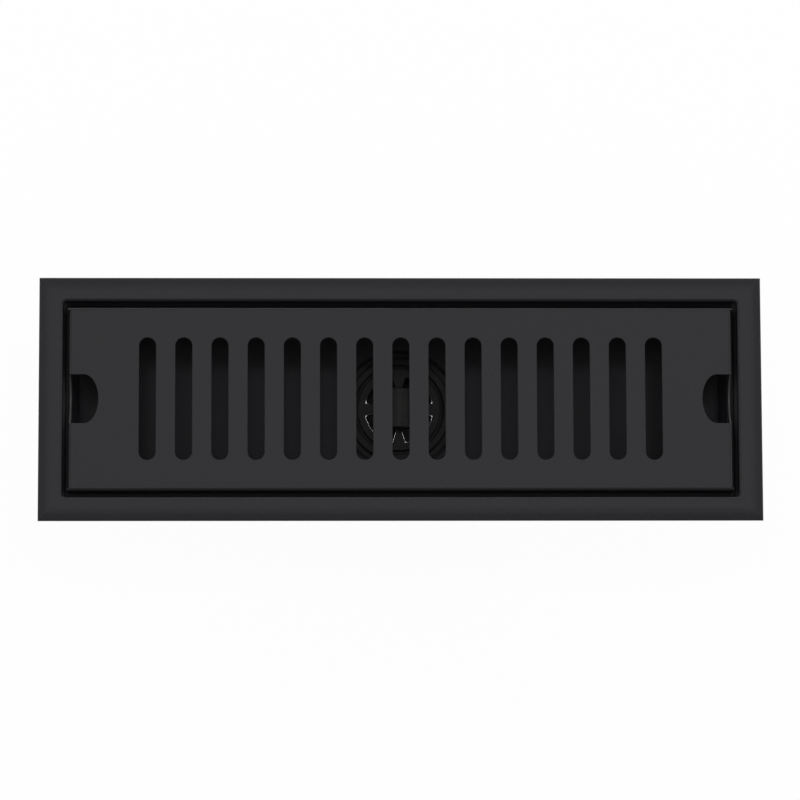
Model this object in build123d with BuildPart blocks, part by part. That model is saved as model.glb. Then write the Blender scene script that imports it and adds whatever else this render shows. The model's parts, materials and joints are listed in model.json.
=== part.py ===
from build123d import *
import os
from math import hypot, radians, tan

# Rectangular floor drain: pressed tray, outlet spigot, lift-out slotted grate and drop-in odour trap.
# Millimetres. X runs along the grate, Z is up, and the origin is the centre of the spigot's lower end.

# Flange that shows on the finished floor
flange_length = 300.0
flange_width = 101.5
flange_rim = 9.8  # from the outer edge to the recess
flange_roll = 5.5  # width of the outer band that curves down
flange_drop = 0.9  # fall of the outer edge below the crown
flange_edge = 0.8  # rounding of the trimmed edge
tray_sheet = 1.0

# Recess and ledge that hold the grate
recess_corner = 1.7
recess_draft = 3.0  # degrees
mouth_bend = 1.2  # upper face, where the flange turns into the recess
ledge_width = 5.5  # along the long sides
end_ledge = 2.6  # at the short ends
ledge_root = 0.6  # inside radius at the foot of the recess wall
ledge_bend = 1.4  # upper face, where the ledge turns into the sump

# Sump
tray_depth = 36.0  # from the crown to the floor at the outlet
floor_fall = 6.0  # from the ends of the sump to the outlet
floor_blend = 300.0  # radius where the slopes meet the flat round the outlet
pan_half = 42.0  # half the length of that flat, before blending
sump_draft = 8.0  # degrees
sump_corner = 8.0
sump_root = 2.5  # inside radius round the floor

# Outlet
outlet_height = 36.0  # floor at the outlet above the spigot's lower end
collar_bend = 2.0  # upper face
collar_length = 8.0
spigot_radius = 25.0
spigot_wall = 1.5
spigot_neck = 0.4  # step in the wall where the spigot enters the collar
spigot_chamfer = 0.6
weld_gap = 0.05  # between spigot and collar
seat_depth = 3.0  # from the floor to the spigot's upper end

# Grate
cover_sheet = 0.8
cover_height = 13.0
cover_drop = 0.2  # top face below the crown
cover_bend = 1.3  # upper face
cover_seam = 0.3  # gap at the folded corners
cover_ear = 0.6  # reach of the long sides past the short ones
end_gap = 2.7  # from the recess to each short side
side_gap = 2.7  # from the recess to each long side
slot_count = 15
slot_pitch = 15.0
slot_length = 51.0
slot_width = 7.0
slot_edge = 0.25  # rounding of the punched upper edges
notch_width = 20.4
notch_straight = 6.3
notch_bow = 6.0  # depth of the rounded end
notch_drop = 3.5  # cut into the skirt at the notch's sides
notch_dip = 5.0  # further cut at its middle

# Trap sleeve and gasket
sleeve_flange_radius = 22.1
sleeve_flange = 2.0
sleeve_flange_round = 0.8
sleeve_radius = 20.6
sleeve_wall = 1.6
sleeve_length = 24.0
rim_radius = 18.8  # opening in the flange for the insert
rim_depth = 2.5
shoulder_width = 2.4
shoulder = 1.5
lip_radius = 15.5  # opening in the lower end
lip = 1.5
gasket_flange = 1.0
gasket_rim = 0.3  # from the gasket's edge to that of the spigot's upper end
gasket_edge = 0.4
gasket_fit = 0.2
gasket_wall = 1.2
gasket_length = 9.0
gasket_fin_count = 3
gasket_fin = 1.1  # height of a fin at its root
gasket_fin_gap = 0.1  # from a fin's tip to the spigot's bore

# Insert and grip
insert_radius = 17.6
insert_thick = 2.0
insert_edge = 0.5
spoke_count = 4
spoke_apex = 4.6  # from the axis to where a spoke's sides would meet
spoke_flare = 6.2  # width of a spoke at the rim
window_inner = 7.2
window_outer = 14.0
window_corner = 0.9
well_depth = 6.5  # from the insert's top to the floor under the spring
well_radius = 3.9
well_wall = 1.2
well_floor = 1.5
grip_width = 10.0
grip_length = 16.8
grip_height = 8.0
grip_wall = 1.2
grip_edge = 0.6

# Valve
stem_radius = 1.5
stem_fit = 0.08
stem_end = 0.9  # above the clip
plate_radius = 19.4
plate = 1.5
plate_boss = 1.1
plate_rib_count = 6
plate_rib = 1.2
plate_rib_height = 1.5
plate_hub = 3.2
washer = 1.5
washer_fit = 0.1
washer_rim = 0.2  # inside the plate's edge
spring_length = 9.7
spring_radius = 2.7  # to the wire's centre
spring_wire = 0.25  # radius
spring_turns = 6.0
clip = 1.0
clip_radius = 3.4
clip_fit = 0.02

# Levels and outlines that follow from the sizes above
crown_z = outlet_height + tray_depth
cover_z = crown_z - cover_drop
ledge_z = cover_z - cover_height
recess_length = flange_length - 2 * flange_rim
recess_width = flange_width - 2 * flange_rim
recess_depth = crown_z - ledge_z
recess_lean = recess_depth * tan(radians(recess_draft))
sump_length = recess_length - 2 * recess_lean - 2 * end_ledge
sump_width = recess_width - 2 * recess_lean - 2 * ledge_width
cover_length = recess_length - 2 * end_gap
cover_width = recess_width - 2 * side_gap
neck_radius = spigot_radius - spigot_neck
collar_radius = neck_radius + weld_gap
collar_z = outlet_height - collar_length
spigot_bore = spigot_radius - spigot_wall
seat_z = outlet_height - seat_depth
sleeve_flange_z = seat_z + gasket_flange
sleeve_top = sleeve_flange_z + sleeve_flange
sleeve_bottom = sleeve_top - sleeve_length
sleeve_bore = sleeve_radius - sleeve_wall
insert_z = sleeve_top - rim_depth
insert_top = insert_z + insert_thick
well_z = insert_top - well_depth
clip_z = well_z + spring_length
plate_top = sleeve_bottom - washer
washer_inner = lip_radius - plate_boss

# Tolerance for choosing edges
near = 0.005

os.makedirs("parts", exist_ok=True)


def rolled_section(plane, span, skin):
    """Section under the flange's crown across a span, lowered by skin; the upper one has rounded edges."""
    half = span / 2
    top = crown_z - skin
    edge_z = top - flange_drop
    roll_radius = (flange_roll**2 + flange_drop**2) / (2 * flange_drop)
    with BuildSketch(plane) as section:
        with BuildLine():
            flat = Line((flange_roll - half, top), (half - flange_roll, top))
            right = RadiusArc(flat @ 1, (half, edge_z), roll_radius)
            left = RadiusArc((-half, edge_z), flat @ 0, roll_radius)
            Polyline(right @ 1, (half, edge_z - tray_sheet), (-half, edge_z - tray_sheet), left @ 0)
        make_face()
        if skin == 0:
            outer = section.vertices().filter_by(lambda vertex: abs(vertex.Y - edge_z) < near)
            fillet(outer, flange_edge)
    return section.sketch


def crown_form(skin):
    """Block under the crowned flange, lowered by skin, with the flange's outline."""
    along = rolled_section(Plane.XZ, flange_length, skin)
    across = rolled_section(Plane.YZ, flange_width, skin)
    with BuildPart() as form:
        extrude(along, amount=flange_width / 2, both=True)
        extrude(across, amount=flange_length / 2, both=True, mode=Mode.INTERSECT)
    return form.part


def sump_form(skin):
    """Space inside the sump below the ledge, grown outward and downward by skin."""
    half_length = sump_length / 2 + skin
    half_width = sump_width / 2 + skin
    end_z = outlet_height + floor_fall - skin
    low_z = outlet_height - skin
    end_half = half_length - (ledge_z - end_z) * tan(radians(sump_draft))
    low_half = half_width - (ledge_z - low_z) * tan(radians(sump_draft))
    with BuildPart() as form:
        with BuildSketch(Plane.XZ):
            with BuildLine():
                floor = FilletPolyline(
                    (-end_half, end_z),
                    (-pan_half, low_z),
                    (pan_half, low_z),
                    (end_half, end_z),
                    radius=floor_blend,
                )
                Polyline(floor @ 1, (half_length, ledge_z), (-half_length, ledge_z), floor @ 0)
            make_face()
        extrude(amount=sump_width, both=True)
        with BuildSketch(Plane.YZ):
            with BuildLine():
                Polyline(
                    (-low_half, low_z),
                    (low_half, low_z),
                    (half_width, ledge_z),
                    (-half_width, ledge_z),
                    close=True,
                )
            make_face()
        extrude(amount=sump_length, both=True, mode=Mode.INTERSECT)
        corners = form.edges().sort_by(lambda edge: edge.bounding_box().size.Z)[-4:]
        fillet(corners, sump_corner + skin)
        low_edges = form.edges().filter_by_position(Axis.Z, low_z - near, end_z + near)
        across_floor = low_edges.filter_by(Axis.Y).filter_by_position(Axis.X, -pan_half * 2, pan_half * 2)
        fillet(low_edges - across_floor, sump_root + skin)
    return form.part


def pressed_form(skin):
    """Space inside the recess and the sump, grown by skin everywhere but at the top."""
    sump = sump_form(skin)
    with BuildPart() as form:
        with BuildSketch(Plane.XY.offset(crown_z)):
            RectangleRounded(recess_length + 2 * skin, recess_width + 2 * skin, recess_corner + skin)
        extrude(amount=-(recess_depth + skin), taper=recess_draft)
        add(sump)
        ledge = form.faces().filter_by(Axis.Z).sort_by(Axis.Z)[-2]
        fillet(ledge.outer_wire().edges(), ledge_root + skin)
        ledge = form.faces().filter_by(Axis.Z).sort_by(Axis.Z)[-2]
        fillet(ledge.inner_wires()[0].edges(), ledge_bend - skin)
    return form.part


def collar_form(skin):
    """Space inside the collar, its bend and the root above it, grown by skin."""
    radius = collar_radius + skin
    rim = collar_radius + collar_bend
    top_z = outlet_height + sump_root
    with BuildPart() as form:
        with BuildSketch(Plane.XZ):
            with BuildLine():
                wall = Polyline(
                    (0, top_z),
                    (0, collar_z),
                    (radius, collar_z),
                    (radius, outlet_height - collar_bend),
                )
                bend = RadiusArc(wall @ 1, (rim, outlet_height - skin), collar_bend - skin)
                Polyline(bend @ 1, (rim + skin, top_z), wall @ 0)
            make_face()
        revolve(axis=Axis.Z)
    return form.part


def arch_section(inset):
    """Section of the grip's rounded bar, shrunk by inset at its sides and top."""
    half = grip_width / 2 - inset
    spring_z = insert_top + grip_height - grip_width / 2
    with BuildSketch(Plane.XZ) as section:
        with BuildLine():
            sides = Polyline((half, spring_z), (half, insert_top), (-half, insert_top), (-half, spring_z))
            ThreePointArc(sides @ 1, (0, spring_z + half), sides @ 0)
        make_face()
    return section.sketch


def ring_edges(part, radius, low, high):
    """Edges that run round the Z axis at a radius, between two heights."""

    def on_ring(edge):
        points = [edge @ t for t in (0.0, 0.3, 0.6)]
        round_axis = all(abs(hypot(point.X, point.Y) - radius) < near for point in points)
        return round_axis and all(low < point.Z < high for point in points) and edge.length > radius

    return part.edges().filter_by(on_ring)


def level_edges(part, level, length, width):
    """Edges at one height inside a centred rectangle."""

    def inside(edge):
        middle = edge.center()
        return abs(middle.X) < length / 2 and abs(middle.Y) < width / 2

    return part.edges().filter_by_position(Axis.Z, level - near, level + near).filter_by(inside)


# Pressed tray

crown_upper = crown_form(0.0)
crown_lower = crown_form(tray_sheet)
press_outer = pressed_form(tray_sheet)
press_inner = pressed_form(0.0)
collar_outer = collar_form(tray_sheet)
collar_inner = collar_form(0.0)

with BuildPart() as tray:
    add(crown_upper)
    add(crown_lower, mode=Mode.SUBTRACT)
    add(press_outer)
    add(collar_outer)
    add(press_inner, mode=Mode.SUBTRACT)
    add(collar_inner, mode=Mode.SUBTRACT)
    mouth_length = recess_length + 2 * mouth_bend
    mouth_width = recess_width + 2 * mouth_bend
    fillet(level_edges(tray, crown_z - tray_sheet, mouth_length, mouth_width), mouth_bend - tray_sheet)
    fillet(level_edges(tray, crown_z, mouth_length, mouth_width), mouth_bend)
tray.part.label = "tray"
export_step(tray.part, "parts/tray.step")

# Outlet spigot

with BuildPart() as outlet_spigot:
    with BuildSketch():
        Circle(spigot_radius)
        Circle(spigot_bore, mode=Mode.SUBTRACT)
    extrude(amount=collar_z)
    chamfer(outlet_spigot.edges().group_by(Axis.Z)[0].sort_by(SortBy.RADIUS)[-1], spigot_chamfer)
    with BuildSketch(Plane.XY.offset(collar_z)):
        Circle(neck_radius)
        Circle(spigot_bore, mode=Mode.SUBTRACT)
    extrude(amount=seat_z - collar_z)
outlet_spigot.part.label = "outlet_spigot"
export_step(outlet_spigot.part, "parts/outlet_spigot.step")

# Slotted grate

half_length = cover_length / 2
half_width = cover_width / 2
end_width = cover_width - 2 * cover_sheet - 2 * cover_seam
notch_floor = cover_z - notch_drop

with BuildPart() as grate_cover:
    with BuildSketch(Plane.YZ):
        with BuildLine():
            FilletPolyline(
                (-half_width, ledge_z),
                (-half_width, cover_z),
                (half_width, cover_z),
                (half_width, ledge_z),
                radius=cover_bend,
            )
            offset(amount=cover_sheet, side=Side.RIGHT)
        make_face()
    extrude(amount=half_length + cover_ear, both=True)
    with BuildSketch(Plane.XY.offset(cover_z)):
        with GridLocations(cover_length - cover_bend + cover_ear, 0, 2, 1):
            Rectangle(cover_bend + cover_ear, end_width)
    extrude(amount=-cover_bend, mode=Mode.SUBTRACT)
    for side in (-1, 1):
        with BuildSketch(Plane.XZ):
            with BuildLine():
                FilletPolyline(
                    (side * (half_length - cover_bend - cover_sheet), cover_z),
                    (side * half_length, cover_z),
                    (side * half_length, ledge_z),
                    radius=cover_bend,
                )
                offset(amount=cover_sheet, side=Side.RIGHT if side > 0 else Side.LEFT)
            make_face()
        extrude(amount=end_width / 2, both=True)
    with BuildSketch(Plane.XY.offset(cover_z)):
        with GridLocations(slot_pitch, 0, slot_count, 1):
            SlotOverall(slot_length, slot_width, rotation=90)
    extrude(amount=-cover_sheet, mode=Mode.SUBTRACT)
    with BuildSketch(Plane.XY.offset(cover_z)):
        with GridLocations(cover_length - 2 * notch_straight, 0, 2, 1):
            Ellipse(notch_bow, notch_width / 2)
        with GridLocations(cover_length, 0, 2, 1):
            Rectangle(2 * notch_straight, notch_width)
    extrude(amount=-notch_drop, mode=Mode.SUBTRACT)
    with BuildSketch(Plane.YZ):
        with BuildLine():
            chord = Line((-notch_width / 2, notch_floor), (notch_width / 2, notch_floor))
            ThreePointArc(chord @ 1, (0, notch_floor - notch_dip), chord @ 0)
        make_face()
    extrude(amount=cover_length, both=True, mode=Mode.SUBTRACT)
    fillet(level_edges(grate_cover, cover_z, slot_count * slot_pitch, slot_length), slot_edge)
    # Two halves that meet along the middle slot
    split(bisect_by=Plane.YZ, keep=Keep.BOTH)
grate_cover.part.label = "grate_cover"
export_step(grate_cover.part, "parts/grate_cover.step")

# Trap gasket

gasket_radius = neck_radius - gasket_rim
gasket_inner = sleeve_radius + gasket_fit
gasket_outer = gasket_inner + gasket_wall
fin_radius = spigot_bore - gasket_fin_gap
fin_pitch = gasket_length / gasket_fin_count

with BuildPart() as trap_gasket:
    with BuildSketch(Plane.XZ):
        with BuildLine():
            Polyline(
                (gasket_inner, sleeve_flange_z),
                (gasket_radius, sleeve_flange_z),
                (gasket_radius, seat_z),
                (gasket_outer, seat_z),
                (gasket_outer, seat_z - gasket_length),
                (gasket_inner, seat_z - gasket_length),
                close=True,
            )
        make_face()
    revolve(axis=Axis.Z)
    with BuildSketch(Plane.XZ):
        for fin in range(gasket_fin_count):
            fin_z = seat_z - fin_pitch * (fin + 1)
            Polygon(
                (gasket_outer - gasket_wall / 2, fin_z),
                (gasket_outer, fin_z),
                (fin_radius, fin_z + gasket_fin),
                (gasket_outer - gasket_wall / 2, fin_z + gasket_fin),
                align=None,
            )
    revolve(axis=Axis.Z)
    fillet(ring_edges(trap_gasket, gasket_radius, seat_z, crown_z), gasket_edge)
trap_gasket.part.label = "trap_gasket"
export_step(trap_gasket.part, "parts/trap_gasket.step")

# Trap sleeve

with BuildPart() as trap_sleeve:
    with BuildSketch(Plane.XZ):
        with BuildLine():
            Polyline(
                (rim_radius, sleeve_top),
                (sleeve_flange_radius, sleeve_top),
                (sleeve_flange_radius, sleeve_flange_z),
                (sleeve_radius, sleeve_flange_z),
                (sleeve_radius, sleeve_bottom),
                (lip_radius, sleeve_bottom),
                (lip_radius, sleeve_bottom + lip),
                (sleeve_bore, sleeve_bottom + lip),
                (sleeve_bore, insert_z - shoulder),
                (rim_radius - shoulder_width, insert_z - shoulder),
                (rim_radius - shoulder_width, insert_z),
                (rim_radius, insert_z),
                close=True,
            )
        make_face()
    revolve(axis=Axis.Z)
    fillet(trap_sleeve.edges().group_by(Axis.Z)[-1], sleeve_flange_round)
trap_sleeve.part.label = "trap_sleeve"
export_step(trap_sleeve.part, "parts/trap_sleeve.step")

# Trap insert

with BuildPart() as trap_insert:
    with BuildSketch(Plane.XY.offset(insert_z)):
        Circle(insert_radius)
    extrude(amount=insert_thick)
    with BuildSketch(Plane.XY.offset(insert_z)) as windows:
        Circle(window_outer)
        Circle(window_inner, mode=Mode.SUBTRACT)
        with PolarLocations(0, spoke_count):
            Polygon(
                (spoke_apex, 0),
                (window_outer, -spoke_flare / 2),
                (window_outer, spoke_flare / 2),
                align=None,
                mode=Mode.SUBTRACT,
            )
        fillet(windows.vertices(), window_corner)
    extrude(amount=insert_thick, mode=Mode.SUBTRACT)
    fillet(trap_insert.edges().group_by(Axis.Z)[-1], insert_edge)
    with BuildSketch(Plane.XY.offset(insert_top)):
        Circle(well_radius + well_wall)
    extrude(amount=-(well_depth + well_floor))
    with BuildSketch(Plane.XY.offset(insert_top)):
        Circle(well_radius)
    extrude(amount=-well_depth, mode=Mode.SUBTRACT)
    with BuildSketch(Plane.XY.offset(well_z)):
        Circle(stem_radius + stem_fit)
    extrude(amount=-well_floor, mode=Mode.SUBTRACT)
trap_insert.part.label = "trap_insert"
export_step(trap_insert.part, "parts/trap_insert.step")

# Grip cap

grip_outer = arch_section(0.0)
grip_inner = arch_section(grip_wall)

with BuildPart() as grip_cap:
    extrude(grip_outer, amount=grip_length / 2, both=True)
    rounded = grip_cap.edges().filter_by_position(Axis.Z, insert_top, crown_z, (False, True))
    fillet(rounded.filter_by(GeomType.CIRCLE), grip_edge)
    extrude(grip_inner, amount=grip_length / 2 - grip_wall, both=True, mode=Mode.SUBTRACT)
grip_cap.part.label = "grip_cap"
export_step(grip_cap.part, "parts/grip_cap.step")

# Valve plunger

with BuildPart() as valve_plunger:
    with BuildSketch(Plane.XZ):
        with BuildLine():
            Polyline(
                (0, clip_z + clip + stem_end),
                (stem_radius, clip_z + clip + stem_end),
                (stem_radius, plate_top + plate_boss + plate_hub),
                (plate_hub, plate_top + plate_boss),
                (washer_inner - washer_fit, plate_top + plate_boss),
                (washer_inner - washer_fit, plate_top),
                (plate_radius, plate_top),
                (plate_radius, plate_top - plate),
                (0, plate_top - plate),
                close=True,
            )
        make_face()
    revolve(axis=Axis.Z)
    with BuildSketch(Plane.XY.offset(plate_top - plate)):
        Circle(plate_hub)
        with PolarLocations(0, plate_rib_count):
            Rectangle(washer_inner, plate_rib, align=(Align.MIN, Align.CENTER))
    extrude(amount=-plate_rib_height)
valve_plunger.part.label = "valve_plunger"
export_step(valve_plunger.part, "parts/valve_plunger.step")

# Valve washer

with BuildPart() as valve_washer:
    with BuildSketch(Plane.XY.offset(plate_top)):
        Circle(plate_radius - washer_rim)
        Circle(washer_inner, mode=Mode.SUBTRACT)
    extrude(amount=washer)
valve_washer.part.label = "valve_washer"
export_step(valve_washer.part, "parts/valve_washer.step")

# Valve spring

coil_height = spring_length - 2 * spring_wire

with BuildPart() as valve_spring:
    with BuildLine() as coil:
        Helix(coil_height / spring_turns, coil_height, spring_radius, center=(0, 0, well_z + spring_wire))
    with BuildSketch(Plane(coil.line @ 0, z_dir=coil.line % 0)):
        Circle(spring_wire)
    sweep(is_frenet=True)
valve_spring.part.label = "valve_spring"
export_step(valve_spring.part, "parts/valve_spring.step")

# Stem clip

with BuildPart() as stem_clip:
    with BuildSketch(Plane.XY.offset(clip_z)):
        Circle(clip_radius)
        Circle(stem_radius + clip_fit, mode=Mode.SUBTRACT)
    extrude(amount=clip)
stem_clip.part.label = "stem_clip"
export_step(stem_clip.part, "parts/stem_clip.step")
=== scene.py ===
"""Matt black floor drain with a lift-out slotted grate: finishes, weld bead, spring and studio."""

import json
import math

import bmesh
import bpy
from bpy.props import FloatProperty, FloatVectorProperty, IntProperty, PointerProperty
from mathutils import Matrix, Vector


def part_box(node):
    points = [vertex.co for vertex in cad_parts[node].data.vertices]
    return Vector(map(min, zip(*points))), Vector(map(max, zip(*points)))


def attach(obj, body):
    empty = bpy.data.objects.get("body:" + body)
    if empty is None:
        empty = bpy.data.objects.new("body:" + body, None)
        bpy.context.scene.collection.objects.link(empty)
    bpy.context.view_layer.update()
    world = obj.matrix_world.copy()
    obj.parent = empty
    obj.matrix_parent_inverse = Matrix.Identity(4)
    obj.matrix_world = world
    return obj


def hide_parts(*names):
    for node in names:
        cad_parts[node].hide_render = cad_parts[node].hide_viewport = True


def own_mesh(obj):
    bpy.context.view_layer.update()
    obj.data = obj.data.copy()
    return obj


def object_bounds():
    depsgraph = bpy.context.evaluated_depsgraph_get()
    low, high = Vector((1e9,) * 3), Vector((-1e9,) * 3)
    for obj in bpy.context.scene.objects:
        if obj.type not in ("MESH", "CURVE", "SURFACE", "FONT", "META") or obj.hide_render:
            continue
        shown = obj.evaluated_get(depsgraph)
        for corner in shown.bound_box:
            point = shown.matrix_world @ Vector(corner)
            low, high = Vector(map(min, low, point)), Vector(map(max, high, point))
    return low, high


bl_info = {
    "name": "Floor drain finishes",
    "version": (1, 0, 0),
    "blender": (4, 5, 0),
    "location": "3D View > Sidebar > Drain",
    "description": "Finishes, weld bead, spring and studio for a slotted floor drain",
    "category": "Object",
}

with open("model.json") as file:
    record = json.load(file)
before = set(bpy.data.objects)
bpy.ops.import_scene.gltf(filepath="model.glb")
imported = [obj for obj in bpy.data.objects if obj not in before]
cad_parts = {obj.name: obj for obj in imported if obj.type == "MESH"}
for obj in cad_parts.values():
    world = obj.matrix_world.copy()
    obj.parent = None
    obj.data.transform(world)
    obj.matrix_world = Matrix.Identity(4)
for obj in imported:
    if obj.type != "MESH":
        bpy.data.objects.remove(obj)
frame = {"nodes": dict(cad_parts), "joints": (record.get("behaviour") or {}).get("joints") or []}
CAD_BOX = [list(corner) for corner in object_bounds()]
MM = 0.001

# Steps between which the tray's coat and its painted light change, in millimetres
RECESS_FADE = (-8.0, -3.0)  # from the crown
RECESS_REACH = (2.2, 2.6)  # from the grate's outline
WALL_FOOT = (0.3, 1.0)  # from the ledge
DULL_TOP = (0.1, 0.4)  # from the ledge

# Steps between which the grate's painted highlight and painted light change, in millimetres
CUT_INNER = (-1.20, -1.00)  # from the grate's end
CUT_OUTER = (-0.45, -0.35)  # from the grate's end
CUT_TOP = (2.6, 3.0)  # below the grate's top
CUT_FOOT = (8.9, 9.2)  # below the grate's top
NOTCH_SIDE = (10.2, 10.4)  # from the middle of a notch
SKIRT_FADE = (3.5, 8.5)  # below the grate's top
# Painted light: the lower skirts, which sit in the shaded gap, take this share of the cut edge's painted
# highlight colour
SKIRT_LIGHT_SHARE = 0.5  # of the cut edge's colour at the foot of the skirts

# Steps between which the polish round the trap's windows changes; the polish is a real gloss, kept to the
# front windows so that it gives painted glints there only
POLISH_START = (-1.0, -0.7)  # widths of the polished edge, from a window's outline inwards
POLISH_END = (0.1, 0.2)  # widths of the polished edge, from a window's outline inwards
POLISH_FOOT = (-1.2, -1.0)  # widths of the polished edge, from the insert's top
GLINT_POLISH_BACK = (3.5, 5.5)  # millimetres behind the trap's axis

# Make of the coat's tone and roughness
DRIFT_SHARE = 0.55  # of the tone that follows the slow drift, the rest follows the grain
DRIFT_ROUGHNESS = 0.04
GRAIN_ROUGHNESS = 0.03
MEAN_ROUGHNESS = 0.03  # taken off again

# How far roughness spreads over the finishes of the trap
PLASTIC_SPREAD = 0.08
RUBBER_SPREAD = 0.16
WIRE_SPREAD = 0.16

# Make of the weld bead
BEAD_SEGMENTS = 12  # round the section
RIPPLE_STEPS = 6  # along each ripple
RIPPLE_BEND = 0.45  # share of a ripple by which it bends at the top and foot of the bead
BEAD_WAVES = ((0.05, 3.0, 0.0), (0.04, 7.0, 1.3))  # share of the size, waves round the ring, start
MERGE_WITHIN = 1e-7  # metres

# Make of the spring
WIRE_SEGMENTS = 10  # round the section
TURN_STEPS = 36  # along each turn

# Stage, in metres
AIM = (-0.4 * MM, -0.6 * MM)  # from the axis of the outlet, on the top of the flange
SENSOR = 36.0  # in millimetres
FLOOR_REACH = 8.0  # from the middle to the backdrop
FLOOR_DROP = 0.2 * MM  # keeps the floor clear of the spigot's end
BACKDROP_HEIGHT = 1.2
PAPER_GREY = 0.86
PANELS = (  # name, width and height, level and share of it, place
    ("overhead softbox", (1.2, 1.5), "softbox_level", 1.0, (0.0, 0.15, 2.6)),
    ("north panel", (2.4, 0.7), "side_level", 1.1, (0.0, 2.2, 0.66)),
    ("west panel", (1.6, 0.7), "side_level", 0.8, (-2.2, 0.3, 0.66)),
    ("east panel", (1.6, 0.7), "side_level", 1.0, (2.2, 0.3, 0.66)),
    ("left key", (0.42, 0.22), "key_level", 0.8, (-0.85, 0.56, 2.4)),
    ("right key", (0.42, 0.22), "key_level", 1.0, (0.85, 0.56, 2.4)),
)


class Wire:
    """A node socket that can be used in Python expressions on values."""

    def __init__(self, finish, socket):
        self.finish = finish
        self.socket = socket

    def _math(self, operation, *values):
        sockets = dict(enumerate(values))
        return self.finish.add("ShaderNodeMath", {"operation": operation}, sockets)

    def __add__(self, other):
        return self._math("ADD", self, other)

    def __radd__(self, other):
        return self._math("ADD", other, self)

    def __sub__(self, other):
        return self._math("SUBTRACT", self, other)

    def __rsub__(self, other):
        return self._math("SUBTRACT", other, self)

    def __mul__(self, other):
        return self._math("MULTIPLY", self, other)

    def __rmul__(self, other):
        return self._math("MULTIPLY", other, self)

    def __abs__(self):
        return self._math("ABSOLUTE", self)

    def beside(self, name):
        """The output of the same node that has this name."""
        return Wire(self.finish, self.socket.node.outputs[name])

    def at_least(self, other):
        return self._math("MAXIMUM", self, other)

    def at_most(self, other):
        return self._math("MINIMUM", self, other)

    def root(self):
        return self._math("SQRT", self)

    def rise(self, low, high):
        """0 at low, 1 at high and a smooth step between them."""
        settings = {"interpolation_type": "SMOOTHSTEP"}
        return self.finish.add("ShaderNodeMapRange", settings,
                               {"Value": self, "From Min": low, "From Max": high})

    def band(self, start, end):
        """A rise over the two values of start and a fall over those of end."""
        return self.rise(*start) * (1.0 - self.rise(*end))


class Finish:
    """A material, or the world, whose nodes are added one call at a time."""

    def __init__(self, name, world=None):
        self.material = world or bpy.data.materials.new(name)
        self.material.use_nodes = True
        self.tree = self.material.node_tree
        self.tree.nodes.clear()

    def add(self, kind, settings=None, sockets=None):
        """Adds a node, sets its settings, sets or links its sockets and gives its first output."""
        node = self.tree.nodes.new(kind)
        for key, value in (settings or {}).items():
            setattr(node, key, value)
        for key, value in (sockets or {}).items():
            usable = [s for s in node.inputs if not s.is_unavailable]
            socket = usable[key] if isinstance(key, int) else next(s for s in usable if s.name == key)
            if isinstance(value, Wire):
                self.tree.links.new(value.socket, socket)
            elif socket.type == "RGBA" and len(value) == 3:
                socket.default_value = (*value, 1.0)
            else:
                socket.default_value = value
        ready = [s for s in node.outputs if not s.is_unavailable]
        return Wire(self, ready[0]) if ready else None

    def place(self):
        """Object coordinates in millimetres as a vector, and its three values."""
        metres = self.add("ShaderNodeTexCoord").beside("Object")
        spot = self.add("ShaderNodeVectorMath", {"operation": "SCALE"}, {0: metres, "Scale": 1.0 / MM})
        split = self.add("ShaderNodeSeparateXYZ", None, {0: spot})
        return spot, [split.beside(axis) for axis in "XYZ"]

    def noise(self, spot, size, detail, roughness=0.5):
        """Noise from 0 to 1 whose spots are about size millimetres across."""
        return self.add("ShaderNodeTexNoise", None,
                        {"Vector": spot, "Scale": 1.0 / size, "Detail": detail, "Roughness": roughness})

    def mix(self, share, first, second):
        """The first colour turning into the second as share goes from 0 to 1."""
        return self.add("ShaderNodeMix", {"data_type": "RGBA"},
                        {"Factor": share, "A": first, "B": second})

    def toned(self, share, colour, low, high):
        """The colour times low turning into the colour times high as share goes from 0 to 1."""
        return self.mix(share, [low * c for c in colour], [high * c for c in colour])

    def bump(self, height, depth, normal=None):
        """Normals for a height from 0 to 1 that stands depth metres high."""
        sockets = {"Height": height, "Distance": depth, "Strength": 1.0}
        if normal is not None:
            sockets["Normal"] = normal
        return self.add("ShaderNodeBump", None, sockets)

    def surface(self, **sockets):
        """Ends the material in a Principled shader and gives the material back."""
        named = {key.replace("_", " "): value for key, value in sockets.items()}
        shader = self.add("ShaderNodeBsdfPrincipled", None, named)
        self.add("ShaderNodeOutputMaterial", None, {"Surface": shader})
        return self.material


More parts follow.
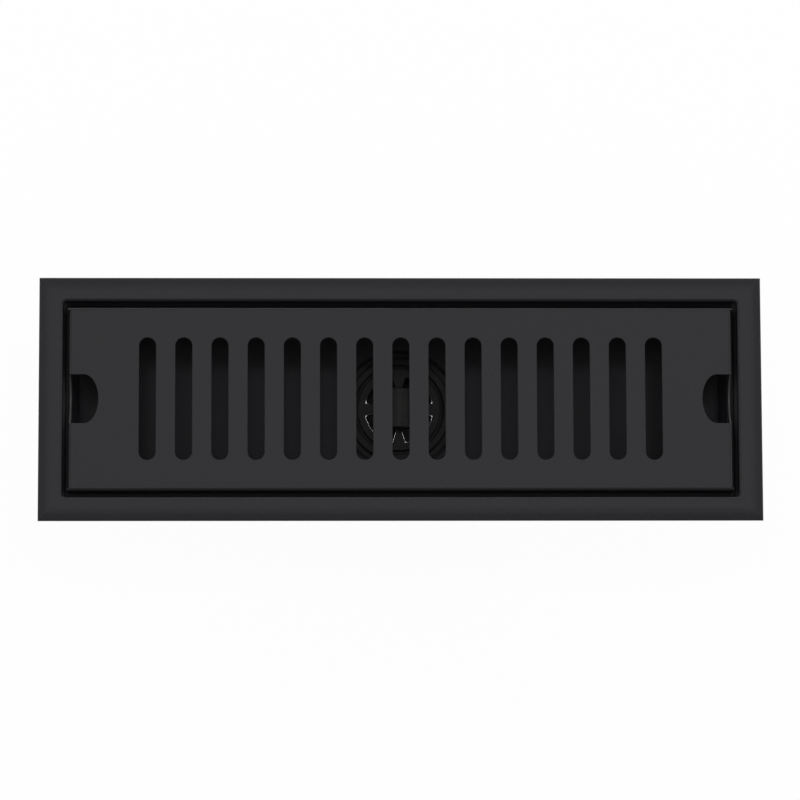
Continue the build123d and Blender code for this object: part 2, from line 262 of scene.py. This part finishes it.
class CoatSettings(bpy.types.PropertyGroup):
    """The matt black coat on the tray, the grate and the spigot."""
    colour: FloatVectorProperty(
        name="Colour", description="Colour of the coat", subtype="COLOR", size=3, min=0.0, max=1.0,
        default=(0.0148, 0.0147, 0.0170))
    # Painted highlight: a lighter line on the cut edges of the finger notches, standing in for the glint
    # there; a share of it is painted light on the lower skirts
    cut_highlight_colour: FloatVectorProperty(
        name="Cut edge colour", description="Colour of the thin coat on the cut edges of the finger notches",
        subtype="COLOR", size=3, min=0.0, max=1.0, default=(0.070, 0.070, 0.072))
    # Painted light: the recess walls are coloured far lighter than the coat, standing in for light in the
    # narrow shaded gap round the grate
    wall_painted_light: FloatVectorProperty(
        name="Recess wall colour", description="Colour of the thinner coat on the walls of the recess",
        subtype="COLOR", size=3, min=0.0, max=1.0, default=(0.100, 0.100, 0.106))
    # Painted light: the ledge and the sump are coloured a little lighter than the coat to lift their shade;
    # their higher roughness is the coat's own
    sump_painted_light: FloatVectorProperty(
        name="Sump colour", description="Colour of the dull coat on the ledge and in the sump",
        subtype="COLOR", size=3, min=0.0, max=1.0, default=(0.0180, 0.0175, 0.0212))
    tone: FloatProperty(
        name="Tone", description="Share by which the colour goes up and down", default=0.18, min=0.0,
        max=1.0, subtype="FACTOR")
    roughness: FloatProperty(
        name="Roughness", description="Roughness of the coat", default=0.40, min=0.0, max=1.0,
        subtype="FACTOR")
    dull_roughness: FloatProperty(
        name="Inner roughness", description="Roughness of the dull coat on the ledge and in the sump",
        default=0.56, min=0.0, max=1.0, subtype="FACTOR")
    gloss: FloatProperty(
        name="Specular level", description="Strength of the coat's reflection", default=0.16, min=0.0,
        max=1.0, subtype="FACTOR")
    drift: FloatProperty(
        name="Drift", description="Size of the slow drift of tone", default=26.0 * MM, min=1.0 * MM,
        precision=4, unit="LENGTH")
    peel: FloatProperty(
        name="Peel", description="Size of the soft waves of the coat", default=1.6 * MM, min=0.05 * MM,
        precision=5, unit="LENGTH")
    peel_depth: FloatProperty(
        name="Peel depth", description="Height of the soft waves", default=3.0e-5, min=0.0, max=1e-3,
        precision=7, unit="LENGTH")
    grain: FloatProperty(
        name="Grain", description="Size of the powder's fine grain", default=0.32 * MM, min=0.05 * MM,
        precision=5, unit="LENGTH")
    grain_depth: FloatProperty(
        name="Grain depth", description="Height of the fine grain", default=4.0e-5, min=0.0, max=1e-3,
        precision=7, unit="LENGTH")


class TrapSettings(bpy.types.PropertyGroup):
    """The plastic, rubber and wire of the odour trap."""
    body_colour: FloatVectorProperty(
        name="Trap plastic", description="Colour of the sleeve and the insert", subtype="COLOR", size=3,
        min=0.0, max=1.0, default=(0.0142, 0.0141, 0.0146))
    body_roughness: FloatProperty(
        name="Trap roughness", description="Roughness of the sleeve and the insert", default=0.50, min=0.0,
        max=1.0, subtype="FACTOR")
    grip_colour: FloatVectorProperty(
        name="Grip plastic", description="Colour of the grip and the valve", subtype="COLOR", size=3,
        min=0.0, max=1.0, default=(0.0295, 0.0297, 0.0285))
    grip_roughness: FloatProperty(
        name="Grip roughness", description="Roughness of the grip and the valve", default=0.42, min=0.0,
        max=1.0, subtype="FACTOR")
    rubber_colour: FloatVectorProperty(
        name="Rubber", description="Colour of the gasket and the washer", subtype="COLOR", size=3,
        min=0.0, max=1.0, default=(0.0150, 0.0150, 0.0152))
    rubber_roughness: FloatProperty(
        name="Rubber roughness", description="Roughness of the gasket and the washer", default=0.62,
        min=0.0, max=1.0, subtype="FACTOR")
    wire_colour: FloatVectorProperty(
        name="Spring wire", description="Colour of the spring and its clip", subtype="COLOR", size=3,
        min=0.0, max=1.0, default=(0.55, 0.55, 0.56))
    wire_roughness: FloatProperty(
        name="Wire roughness", description="Roughness of the spring and its clip", default=0.22, min=0.0,
        max=1.0, subtype="FACTOR")
    window_inner: FloatProperty(
        name="Window inner radius", description="Inner radius of the insert's windows", default=7.2 * MM,
        unit="LENGTH")
    window_outer: FloatProperty(
        name="Window outer radius", description="Outer radius of the insert's windows", default=14.0 * MM,
        unit="LENGTH")
    spoke_apex: FloatProperty(
        name="Spoke apex", description="Radius at which the sides of a spoke would meet",
        default=4.6 * MM, unit="LENGTH")
    spoke_flare: FloatProperty(
        name="Spoke flare", description="Width of a spoke at the windows' outer radius",
        default=6.2 * MM, unit="LENGTH")
    edge_width: FloatProperty(
        name="Polished edge", description="Width of the polished edge round the windows",
        default=0.5 * MM, unit="LENGTH")


class WeldSettings(bpy.types.PropertyGroup):
    """The bead that joins the spigot to the tray's collar."""
    radius: FloatProperty(
        name="Ring radius", description="Radius of the middle of the bead", unit="LENGTH",
        default=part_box("outlet_spigot")[1].x)
    level: FloatProperty(
        name="Level", description="Height of the middle of the bead", default=28.3 * MM, unit="LENGTH")
    size: FloatProperty(
        name="Bead size", description="Half width of the bead", default=1.0 * MM, min=0.2 * MM, unit="LENGTH")
    ripples: IntProperty(
        name="Ripples", description="Ripples round the bead", default=120, min=8, max=400)
    ripple_depth: FloatProperty(
        name="Ripple depth", description="Share of the bead's size that a ripple falls", default=0.28,
        min=0.0, max=0.9, subtype="FACTOR")


class SpringSettings(bpy.types.PropertyGroup):
    """The spring that holds the valve shut."""
    wire: FloatProperty(
        name="Wire radius", description="Radius of the spring's wire", default=0.25 * MM, min=0.05 * MM,
        unit="LENGTH")
    turns: IntProperty(
        name="Open turns", description="Turns between the closed ends", default=4, min=1, max=40)
    end_pitch: FloatProperty(
        name="End pitch", description="Rise of the closed turn at each end", default=0.52 * MM,
        min=0.1 * MM, unit="LENGTH")


class StageSettings(bpy.types.PropertyGroup):
    """Camera, lights and floor."""
    tilt: FloatProperty(
        name="Tilt", description="Camera's lean towards the front", default=math.radians(7.3),
        subtype="ANGLE")
    swing: FloatProperty(
        name="Swing", description="Camera's lean towards the left", default=math.radians(1.4),
        subtype="ANGLE")
    distance: FloatProperty(
        name="Distance", description="Distance from the camera to the grate", default=1.7, min=0.5,
        unit="LENGTH")
    view_width: FloatProperty(
        name="View width", description="Width of the view at the grate", default=0.3315, min=0.05,
        unit="LENGTH")
    room_level: FloatProperty(
        name="Room light", description="Level of the even light from all sides", default=0.40, min=0.0)
    softbox_level: FloatProperty(
        name="Softbox", description="Radiance of the large overhead panel", default=2.15, min=0.0)
    side_level: FloatProperty(
        name="Side panels", description="Radiance of the panels behind and beside the drain", default=4.8,
        min=0.0)
    key_level: FloatProperty(
        name="Keys", description="Radiance of the small lamps that give the glints", default=20.0, min=0.0)
    floor_white: FloatProperty(
        name="Floor white", description="Share of plain white in the floor that the camera sees",
        default=0.96, min=0.0, max=1.0, subtype="FACTOR")


class DrainSettings(bpy.types.PropertyGroup):
    """All settings of the floor drain."""
    coat: PointerProperty(name="Coat", description="Coat on the metal pieces", type=CoatSettings)
    trap: PointerProperty(name="Trap", description="Finishes of the odour trap", type=TrapSettings)
    weld: PointerProperty(name="Weld", description="Weld bead under the tray", type=WeldSettings)
    spring: PointerProperty(name="Spring", description="Closing spring of the valve", type=SpringSettings)
    stage: PointerProperty(name="Stage", description="Camera, lights and floor", type=StageSettings)


def dress(node, material):
    """Gives every slot of a CAD node the same material."""
    slots = frame["nodes"][node].material_slots
    if not slots:
        raise RuntimeError(f"{node} has no material slot")
    for slot in slots:
        slot.material = material


def beyond(level, steps):
    """The steps counted from a level."""
    return [level + step for step in steps]


def upright_circle(build, radius, segments, centre):
    """The section of a bead or a wire, standing beside the axis that it is spun about."""
    section = bmesh.ops.create_circle(build, segments=segments, radius=radius)["verts"]
    bmesh.ops.rotate(build, verts=section, matrix=Matrix.Rotation(math.pi / 2, 3, "X"))
    bmesh.ops.translate(build, verts=section, vec=centre)
    return section


def round_off(build):
    """Turns the faces outwards and shades the sides smooth and the ends flat."""
    bmesh.ops.recalc_face_normals(build, faces=build.faces)
    for face in build.faces:
        face.smooth = len(face.verts) == 4


def new_object(name, build, material):
    """Makes a linked object of a finished bmesh."""
    mesh = bpy.data.meshes.new(name)
    build.to_mesh(mesh)
    build.free()
    mesh.materials.append(material)
    piece = bpy.data.objects.new(name, mesh)
    bpy.context.scene.collection.objects.link(piece)
    return piece


class Coat(Finish):
    """Matt powder coat: soft waves, fine grain and a slow drift of tone."""

    def __init__(self, name, coat):
        super().__init__(name)
        self.coat = coat
        self.spot, self.axes = self.place()
        self.drift = self.noise(self.spot, coat.drift / MM, detail=3.0)
        self.grain = self.noise(self.spot, coat.grain / MM, detail=1.0)
        self.peel = self.noise(self.spot, coat.peel / MM, detail=1.0)

    def finished(self, areas=(), dull=None):
        """The material, with each area's colour where its mask is 1 and less gloss where dull is 1."""
        coat = self.coat
        share = DRIFT_SHARE * self.drift + (1.0 - DRIFT_SHARE) * self.grain
        colour = self.toned(share, coat.colour, 1.0 - coat.tone, 1.0 + coat.tone)
        roughness = coat.roughness - MEAN_ROUGHNESS + DRIFT_ROUGHNESS * self.drift
        roughness = roughness + GRAIN_ROUGHNESS * self.grain
        for mask, area_colour in areas:
            colour = self.mix(mask, colour, area_colour)
        if dull is not None:
            roughness = roughness + (coat.dull_roughness - coat.roughness) * dull
        waves = self.bump(self.peel, coat.peel_depth)
        normal = self.bump(self.grain, coat.grain_depth, waves)
        return self.surface(Base_Color=colour, Roughness=roughness, Normal=normal,
                            Specular_IOR_Level=coat.gloss)


class DRAIN_OT_tray(bpy.types.Operator):
    """Finish the pressed tray and its spigot with the matt coat, with painted light on the recess walls and
    in the sump.
    """
    bl_idname = "drain.tray"
    bl_label = "Finish tray"

    def execute(self, context):
        coat = context.scene.drain.coat
        finish = Coat("tray coat", coat)
        x, y, z = finish.axes
        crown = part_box("tray")[1].z / MM
        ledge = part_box("grate_cover")[0].z / MM
        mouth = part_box("grate_cover")[1] / MM
        outside = (abs(x) - mouth.x).at_least(abs(y) - mouth.y)
        recess = (1.0 - z.rise(*beyond(crown, RECESS_FADE))) * (1.0 - outside.rise(*RECESS_REACH))
        # The wall and dull masks lay painted light: lighter colour on the recess walls and in the sump, which
        # lie in shade; dull also raises the roughness
        wall = recess * z.rise(*beyond(ledge, WALL_FOOT))
        dull = recess * (1.0 - z.rise(*beyond(ledge, DULL_TOP)))
        areas = ((wall, coat.wall_painted_light), (dull, coat.sump_painted_light))
        dress("tray", finish.finished(areas, dull))
        dress("outlet_spigot", Coat("spigot coat", coat).finished())
        return {"FINISHED"}


class DRAIN_OT_grate(bpy.types.Operator):
    """Finish the slotted grate with the matt coat, with a painted highlight on the cut edges of its notches
    and painted light on the lower skirts.
    """
    bl_idname = "drain.grate"
    bl_label = "Finish grate"

    def execute(self, context):
        coat = context.scene.drain.coat
        finish = Coat("grate coat", coat)
        x, y, z = finish.axes
        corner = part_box("grate_cover")[1] / MM
        depth = corner.z - z
        # Painted highlight along the cut edges of the notches, and painted light, at a share of it, on the
        # lower skirts in the shaded gap
        edge = abs(x).band(beyond(corner.x, CUT_INNER), beyond(corner.x, CUT_OUTER))
        cut = edge * depth.band(CUT_TOP, CUT_FOOT) * (1.0 - abs(y).rise(*NOTCH_SIDE))
        skirt_painted_light = SKIRT_LIGHT_SHARE * depth.rise(*SKIRT_FADE)
        areas = ((cut.at_least(skirt_painted_light), coat.cut_highlight_colour),)
        dress("grate_cover", finish.finished(areas))
        return {"FINISHED"}


class DRAIN_OT_weld(bpy.types.Operator):
    """Lay the rippled weld bead between the collar and the spigot."""
    bl_idname = "drain.weld"
    bl_label = "Lay weld bead"

    def execute(self, context):
        weld = context.scene.drain.weld
        build = bmesh.new()
        upright_circle(build, weld.size, BEAD_SEGMENTS, (weld.radius, 0.0, weld.level))
        bmesh.ops.spin(build, geom=build.verts[:] + build.edges[:], axis=(0, 0, 1), cent=(0, 0, 0),
                       angle=math.tau, steps=RIPPLE_STEPS * weld.ripples, use_merge=True)
        bmesh.ops.remove_doubles(build, verts=build.verts, dist=MERGE_WITHIN)
        for vert in build.verts:
            bearing = math.atan2(vert.co.y, vert.co.x)
            middle = Vector((math.cos(bearing) * weld.radius, math.sin(bearing) * weld.radius, weld.level))
            across = (vert.co.z - weld.level) / weld.size
            phase = weld.ripples * bearing / math.tau + RIPPLE_BEND * across * across
            fall = weld.ripple_depth * (phase % 1.0)
            swell = 1.0 + sum(share * math.sin(waves * bearing + turn) for share, waves, turn in BEAD_WAVES)
            vert.co = middle + (vert.co - middle) * (swell - fall)
        round_off(build)
        bead = new_object("weld_bead", build, Coat("weld coat", context.scene.drain.coat).finished())
        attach(bead, "drain")
        return {"FINISHED"}


def trap_plastic(trap):
    """Matt plastic of the sleeve and the insert, polished on the edges of the front windows only, which
    places painted glints there.
    """
    finish = Finish("trap plastic")
    spot, (x, y, z) = finish.place()
    flow = finish.noise(spot, size=9.0, detail=3.0)
    grain = finish.noise(spot, size=0.5, detail=1.0)
    along = abs(x).at_least(abs(y))
    across = abs(x).at_most(abs(y))
    radius = (x * x + y * y).root()
    flare = math.atan2(trap.spoke_flare / 2, trap.window_outer - trap.spoke_apex)
    inside = across * math.cos(flare) - (along - trap.spoke_apex / MM) * math.sin(flare)
    inside = inside.at_most(radius - trap.window_inner / MM).at_most(trap.window_outer / MM - radius)
    width = trap.edge_width / MM
    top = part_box("trap_insert")[1].z / MM
    rim = inside.band([width * step for step in POLISH_START], [width * step for step in POLISH_END])
    upper = z.rise(*beyond(top, [width * step for step in POLISH_FOOT]))
    # Painted glints: the polish stops behind the trap's axis so that the keys glint only on the front windows
    polish = rim * upper * (1.0 - y.rise(*GLINT_POLISH_BACK))
    return finish.surface(
        Base_Color=finish.toned(flow, trap.body_colour, low=0.85, high=1.15),
        Roughness=trap.body_roughness + PLASTIC_SPREAD * grain, Specular_IOR_Level=0.14,
        Coat_Weight=polish, Coat_Roughness=0.18, Coat_IOR=3.0, Normal=finish.bump(grain, depth=5e-6))


def grip_plastic(trap):
    """Satin plastic of the grip and the valve."""
    finish = Finish("grip plastic")
    spot, _ = finish.place()
    flow = finish.noise(spot, size=5.0, detail=3.0)
    grain = finish.noise(spot, size=0.35, detail=2.0)
    return finish.surface(
        Base_Color=finish.toned(flow, trap.grip_colour, low=0.85, high=1.15),
        Roughness=trap.grip_roughness + PLASTIC_SPREAD * grain, Specular_IOR_Level=0.20,
        Normal=finish.bump(grain, depth=6e-6))


def seal_rubber(trap):
    """Dull rubber of the gasket and the washer, with a pale bloom."""
    finish = Finish("seal rubber")
    spot, _ = finish.place()
    bloom = finish.noise(spot, size=4.0, detail=4.0, roughness=0.6)
    speck = finish.noise(spot, size=0.25, detail=2.0)
    return finish.surface(
        Base_Color=finish.toned(bloom, trap.rubber_colour, low=0.7, high=1.5),
        Roughness=trap.rubber_roughness + RUBBER_SPREAD * speck, Specular_IOR_Level=0.25,
        Normal=finish.bump(speck, depth=10e-6))


def spring_wire(trap):
    """Bright drawn wire of the spring and its clip."""
    finish = Finish("spring wire")
    spot, _ = finish.place()
    streak = finish.noise(spot, size=0.4, detail=3.0)
    return finish.surface(
        Base_Color=finish.toned(streak, trap.wire_colour, low=0.8, high=1.0),
        Roughness=trap.wire_roughness + WIRE_SPREAD * streak, Metallic=1.0)


class DRAIN_OT_trap(bpy.types.Operator):
    """Finish the odour trap: plastic, rubber and wire."""
    bl_idname = "drain.trap"
    bl_label = "Finish trap"

    def execute(self, context):
        trap = context.scene.drain.trap
        finishes = ((trap_plastic, ("trap_sleeve", "trap_insert")),
                    (grip_plastic, ("grip_cap", "valve_plunger")),
                    (seal_rubber, ("trap_gasket", "valve_washer")),
                    (spring_wire, ("valve_spring", "stem_clip")))
        for make, nodes in finishes:
            material = make(trap)
            for node in nodes:
                dress(node, material)
        return {"FINISHED"}


class DRAIN_OT_spring(bpy.types.Operator):
    """Wind the closing spring and hide the CAD spring in its place."""
    bl_idname = "drain.spring"
    bl_label = "Wind spring"

    def execute(self, context):
        spring = context.scene.drain.spring
        low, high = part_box("valve_spring")
        climb = high.z - low.z - 2 * spring.wire - 2 * spring.end_pitch
        build = bmesh.new()
        centre = (high.x - spring.wire, 0.0, low.z + spring.wire)
        section = upright_circle(build, spring.wire, WIRE_SEGMENTS, centre)
        bmesh.ops.contextual_create(build, geom=section)
        end = build.verts[:] + build.edges[:] + build.faces[:]
        for turns, rise in ((1, spring.end_pitch), (spring.turns, climb), (1, spring.end_pitch)):
            steps = TURN_STEPS * turns
            end = bmesh.ops.spin(build, geom=end, axis=(0, 0, 1), cent=(0, 0, 0), steps=steps,
                                 angle=turns * math.tau, dvec=(0, 0, rise / steps))["geom_last"]
        round_off(build)
        wire = frame["nodes"]["stem_clip"].material_slots[0].material
        coil = new_object("closing_spring", build, wire)
        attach(coil, "drain")
        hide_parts("valve_spring")
        travel = max(next(j for j in frame["joints"] if j["name"] == "valve_slide")["range_m"])
        1.0 - travel / (high.z - low.z)
        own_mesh(coil)
        return {"FINISHED"}


def set_camera(scene, stage, target):
    """Looks down on the grate from a little to the front and the left."""
    lens = bpy.data.cameras.new("photo camera")
    lens.sensor_width = SENSOR
    lens.lens = SENSOR * stage.distance / stage.view_width
    camera = bpy.data.objects.new("photo camera", lens)
    away = Vector((-math.tan(stage.swing), -math.tan(stage.tilt), 1.0)).normalized()
    up = away.cross(Vector((1.0, 0.0, 0.0))).normalized()
    across = up.cross(away).normalized()
    camera.location = target + stage.distance * away
    camera.rotation_euler = Matrix((across, up, away)).transposed().to_euler()
    scene.collection.objects.link(camera)
    scene.camera = camera


def hang_panels(scene, stage, target):
    """Hangs the light panels towards the drain, each with the power that its radiance needs."""
    for name, (width, height), level, share, spot in PANELS:
        lamp = bpy.data.lights.new(name, "AREA")
        lamp.shape = "RECTANGLE"
        lamp.size = width
        lamp.size_y = height
        lamp.energy = share * getattr(stage, level) * math.pi * width * height
        panel = bpy.data.objects.new(name, lamp)
        panel.location = spot
        panel.rotation_euler = (Vector(spot) - target).to_track_quat("Z", "Y").to_euler()
        panel.visible_camera = False
        scene.collection.objects.link(panel)


def light_room(scene, stage):
    """Fills the room with even white light."""
    scene.world = bpy.data.worlds.new("studio room")
    room = Finish("studio room", scene.world)
    glow = room.add("ShaderNodeBackground", None,
                    {"Color": (1.0, 1.0, 1.0), "Strength": stage.room_level})
    room.add("ShaderNodeOutputWorld", None, {"Surface": glow})


def white_paper(stage):
    """Paper that is plain white to the camera and in reflections, and still takes shadows."""
    paper = Finish("white paper")
    rays = paper.add("ShaderNodeLightPath")
    direct = rays.beside("Is Camera Ray").at_least(rays.beside("Is Glossy Ray"))
    direct = direct.at_least(rays.beside("Is Transmission Ray"))
    matt = paper.add("ShaderNodeBsdfDiffuse", None, {"Color": (PAPER_GREY, PAPER_GREY, PAPER_GREY)})
    white = paper.add("ShaderNodeEmission", None, {"Color": (1.0, 1.0, 1.0), "Strength": 1.0})
    both = paper.add("ShaderNodeMixShader", None, {0: direct * stage.floor_white, 1: matt, 2: white})
    paper.add("ShaderNodeOutputMaterial", None, {"Surface": both})
    return paper.material


class DRAIN_OT_stage(bpy.types.Operator):
    """Set up the camera, the lights and the white floor with its backdrop."""
    bl_idname = "drain.stage"
    bl_label = "Set up stage"

    def execute(self, context):
        scene = context.scene
        stage = scene.drain.stage
        scene.view_settings.view_transform = "Standard"
        target = Vector((*AIM, CAD_BOX[1][2]))
        set_camera(scene, stage, target)
        hang_panels(scene, stage, target)
        light_room(scene, stage)
        build = bmesh.new()
        bmesh.ops.create_grid(build, x_segments=1, y_segments=1, size=FLOOR_REACH)
        bmesh.ops.translate(build, verts=build.verts, vec=(0.0, 0.0, -FLOOR_DROP))
        wall = bmesh.ops.extrude_edge_only(build, edges=build.edges[:])["geom"]
        rim = [part for part in wall if isinstance(part, bmesh.types.BMVert)]
        bmesh.ops.translate(build, verts=rim, vec=(0.0, 0.0, BACKDROP_HEIGHT))
        floor = new_object("studio_floor", build, white_paper(stage))
        return {"FINISHED"}


class DRAIN_PT_sidebar(bpy.types.Panel):
    """Sidebar list of the drain's steps and settings."""
    bl_idname = "DRAIN_PT_sidebar"
    bl_label = "Floor drain"
    bl_space_type = "VIEW_3D"
    bl_region_type = "UI"
    bl_category = "Drain"

    def draw(self, context):
        drain = context.scene.drain
        for step in STEPS:
            self.layout.operator(step.bl_idname)
        for group in (drain.coat, drain.trap, drain.weld, drain.spring, drain.stage):
            box = self.layout.box()
            for key in group.__annotations__:
                box.prop(group, key)


STEPS = (DRAIN_OT_tray, DRAIN_OT_grate, DRAIN_OT_weld, DRAIN_OT_trap, DRAIN_OT_spring, DRAIN_OT_stage)
CLASSES = (CoatSettings, TrapSettings, WeldSettings, SpringSettings, StageSettings, DrainSettings, *STEPS,
           DRAIN_PT_sidebar)


def register():
    for cls in CLASSES:
        bpy.utils.register_class(cls)
    bpy.types.Scene.drain = PointerProperty(
        name="Floor drain", description="Settings of the floor drain", type=DrainSettings)


def unregister():
    del bpy.types.Scene.drain
    for cls in reversed(CLASSES):
        bpy.utils.unregister_class(cls)


def main():
    register()
    bpy.ops.drain.tray()
    bpy.ops.drain.grate()
    bpy.ops.drain.weld()
    bpy.ops.drain.trap()
    bpy.ops.drain.spring()
    bpy.ops.drain.stage()


if __name__ == "__main__":
    main()
